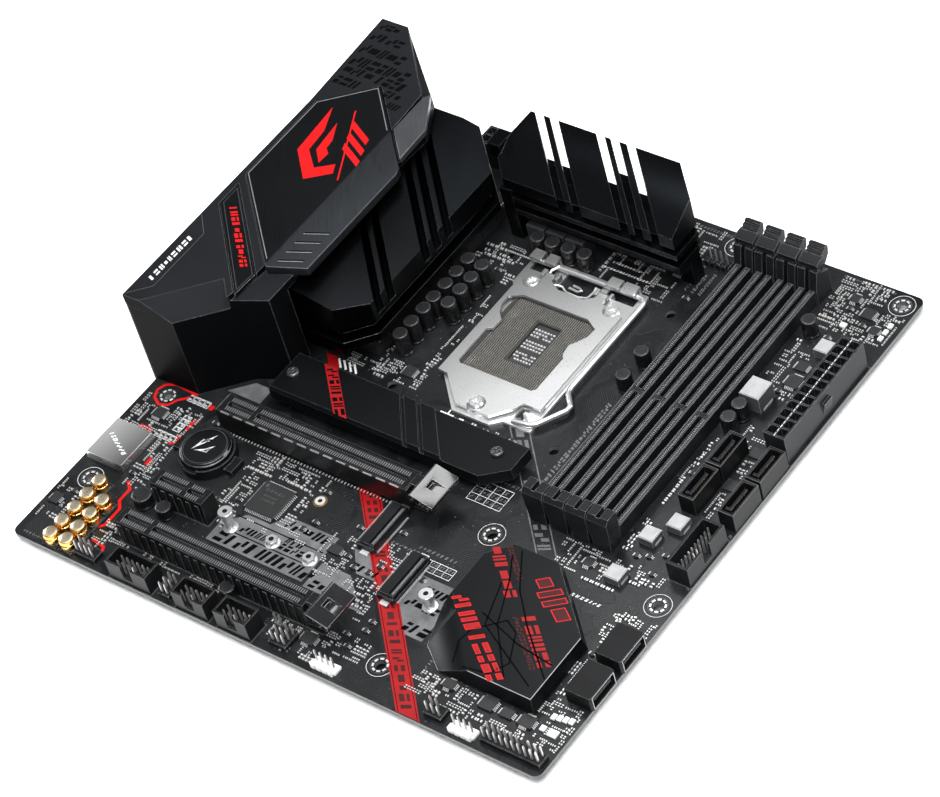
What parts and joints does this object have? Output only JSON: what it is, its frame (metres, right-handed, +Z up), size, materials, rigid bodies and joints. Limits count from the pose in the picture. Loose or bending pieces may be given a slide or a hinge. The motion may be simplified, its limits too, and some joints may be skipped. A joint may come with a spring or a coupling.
{
  "type": "computer motherboard",
  "caption": "Square black computer main board with a processor socket, memory and card slots, angular gunmetal heatsinks, a rear port cover and edge connectors.",
  "frame": {"origin": "centre of the circuit board's underside", "axes": "+Z up from the component side; -X towards the rear port edge, +X towards the front edge; +Y towards the top edge above the processor socket, -Y towards the expansion slots"},
  "size_m": [0.2535, 0.2473, 0.0526],
  "materials": {
    "board_laminate": "satin",
    "bright_steel": "satin",
    "dark_steel": "satin",
    "contact_carrier": "matte",
    "black_plastic": "matte",
    "glossy_latch": "gloss",
    "slate_plastic": "satin",
    "slot_armour": "satin",
    "cover_paint": "satin",
    "gunmetal": "satin",
    "brushed_plate": "brushed",
    "pale_wing": "satin",
    "battery_can": "satin",
    "red_accent": "gloss",
    "printed_ink": "matte",
    "solder": "satin",
    "gold_can": "satin",
    "capacitor_sleeve": "satin",
    "ferrite_grey": "satin"
  },
  "bodies": {
    "board": {"audio_jacks": "black_plastic", "audio_shield": "bright_steel", "battery_holder": "black_plastic", "card_socket_1": "slate_plastic", "card_socket_2": "slate_plastic", "chipset_heatsink": "gunmetal", "circuit_board": "board_laminate", "coin_cell": "battery_can", "cover_plate": "brushed_plate", "cover_strip": "brushed_plate", "cover_wing": "pale_wing", "display_ports": "black_plastic", "drive_heatsink": "gunmetal", "drive_heatsink_screw_1": "dark_steel", "drive_heatsink_screw_2": "dark_steel", "drive_port_1": "black_plastic", "drive_port_2": "black_plastic", "drive_port_3": "black_plastic", "drive_port_4": "black_plastic", "drive_port_5": "slate_plastic", "drive_port_6": "slate_plastic", "front_usb_header": "slate_plastic", "keyboard_usb_port": "bright_steel", "left_power_heatsink": "gunmetal", "long_slot_1": "black_plastic", "long_slot_1_shell": "slot_armour", "long_slot_2": "black_plastic", "main_power_connector": "slate_plastic", "memory_slot_1": "slate_plastic", "memory_slot_2": "slate_plastic", "memory_slot_3": "slate_plastic", "memory_slot_4": "slate_plastic", "network_port": "bright_steel", "pin_header_1": "black_plastic", "pin_header_2": "black_plastic", "pin_header_3": "black_plastic", "port_cover": "cover_paint", "port_shield": "dark_steel", "processor_power_connector": "slate_plastic", "radio_module": "bright_steel", "short_slot": "black_plastic", "socket_backplate": "dark_steel", "socket_contact_carrier": "contact_carrier", "socket_frame": "bright_steel", "socket_screw_1": "bright_steel", "socket_screw_2": "bright_steel", "socket_shoulder_screw": "bright_steel", "top_power_heatsink": "gunmetal", "usb_ports_1": "bright_steel", "usb_ports_2": "bright_steel"},
    "socket_lever": {"socket_lever": "bright_steel"},
    "socket_load_plate": {"socket_load_plate": "bright_steel"},
    "memory_latch_1": {"memory_latch_1": "slate_plastic"},
    "memory_latch_2": {"memory_latch_2": "slate_plastic"},
    "memory_latch_3": {"memory_latch_3": "slate_plastic"},
    "memory_latch_4": {"memory_latch_4": "slate_plastic"},
    "long_slot_1_latch": {"long_slot_1_latch": "glossy_latch"},
    "long_slot_2_latch": {"long_slot_2_latch": "glossy_latch"}
  },
  "joints": [
    {"name": "lever_hinge", "type": "hinge", "parent": "board", "child": "socket_lever", "pos_m": [0.0023, 0.0756, 0.0044], "axis": [-1, 0, 0], "range_deg": [0, 100]},
    {"name": "load_plate_hinge", "type": "hinge", "parent": "board", "child": "socket_load_plate", "pos_m": [0.0023, 0.0703, 0.0048], "axis": [-1, 0, 0], "range_deg": [0, 95]},
    {"name": "memory_latch_1_hinge", "type": "hinge", "parent": "board", "child": "memory_latch_1", "pos_m": [0.0555, 0.109, 0.0049], "axis": [-1, 0, 0], "range_deg": [0, 25]},
    {"name": "memory_latch_2_hinge", "type": "hinge", "parent": "board", "child": "memory_latch_2", "pos_m": [0.06493, 0.109, 0.0049], "axis": [-1, 0, 0], "range_deg": [0, 25]},
    {"name": "memory_latch_3_hinge", "type": "hinge", "parent": "board", "child": "memory_latch_3", "pos_m": [0.07436, 0.109, 0.0049], "axis": [-1, 0, 0], "range_deg": [0, 25]},
    {"name": "memory_latch_4_hinge", "type": "hinge", "parent": "board", "child": "memory_latch_4", "pos_m": [0.08379, 0.109, 0.0049], "axis": [-1, 0, 0], "range_deg": [0, 25]},
    {"name": "long_slot_1_latch_hinge", "type": "hinge", "parent": "board", "child": "long_slot_1_latch", "pos_m": [0.0129, -0.0413, 0.0054], "axis": [0, 1, 0], "range_deg": [0, 20]},
    {"name": "long_slot_2_latch_hinge", "type": "hinge", "parent": "board", "child": "long_slot_2_latch", "pos_m": [0.0129, -0.10226, 0.0054], "axis": [0, 1, 0], "range_deg": [0, 20]}
  ],
  "couplings": [
    {"joint": "load_plate_hinge", "follows": "lever_hinge", "ratio": 0.95}
  ]
}
